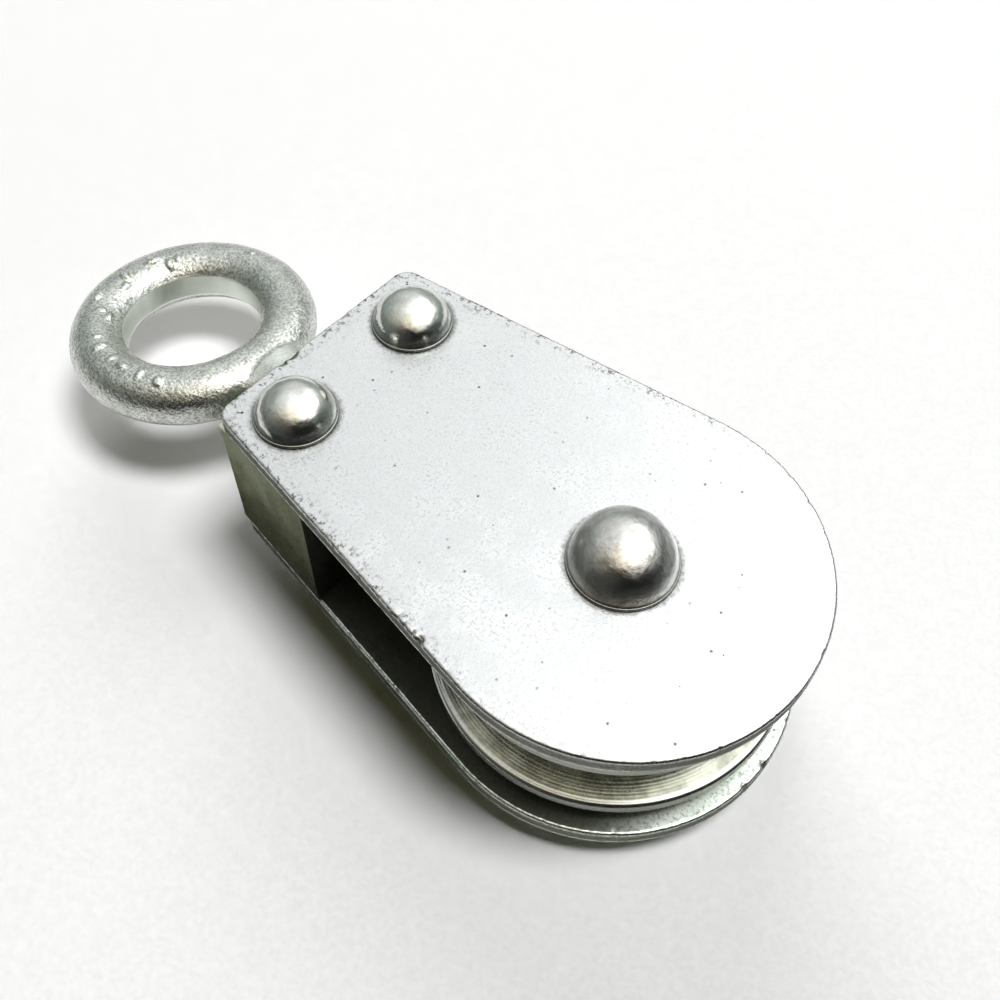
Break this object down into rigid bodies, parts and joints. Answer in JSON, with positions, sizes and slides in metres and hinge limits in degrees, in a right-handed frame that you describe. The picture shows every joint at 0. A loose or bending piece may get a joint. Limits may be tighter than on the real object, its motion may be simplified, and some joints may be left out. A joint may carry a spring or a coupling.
{
  "type": "pulley block",
  "caption": "Flat swivel-eye pulley block for wire rope: a grooved sheave between riveted cheek plates, and an eye that swivels in the head.",
  "frame": {"origin": "centre of the sheave, on the axle's axis, midway between the cheek plates", "axes": "+Z along the axle's axis, out of the upper cheek; +X from the axle towards the eye; +Y completes the frame"},
  "size_m": [0.1237, 0.0508, 0.0372],
  "materials": {
    "cheek_zinc": "satin zinc plate with fine mottling",
    "head_zinc": "dull zinc plate",
    "rivet_zinc": "bright zinc plate",
    "axle_steel": "bright worn steel",
    "sleeve_steel": "ground steel",
    "sheave_steel": "turned, zinc plated",
    "bushing_bronze": "sintered bronze",
    "washer_steel": "zinc plated",
    "eye_zinc": "bright zinc plate over a rough forging"
  },
  "bodies": {
    "frame": {"upper_cheek": "cheek_zinc", "lower_cheek": "cheek_zinc", "head_block": "head_zinc", "head_rivets": "rivet_zinc", "axle_rivet": "axle_steel", "axle_sleeve": "sleeve_steel", "upper_thrust_washer": "washer_steel", "lower_thrust_washer": "washer_steel"},
    "sheave": {"sheave": "sheave_steel", "sheave_bushing": "bushing_bronze"},
    "eye": {"swivel_eye": "eye_zinc", "swivel_washer": "washer_steel"}
  },
  "joints": [
    {"name": "sheave_spin", "type": "hinge", "parent": "frame", "child": "sheave", "pos_m": [0, 0, 0], "axis": [0, 0, 1], "continuous": true},
    {"name": "eye_swivel", "type": "hinge", "parent": "frame", "child": "eye", "pos_m": [0.04675, 0, 0], "axis": [0.9921, 0.0746, -0.1011], "continuous": true}
  ]
}
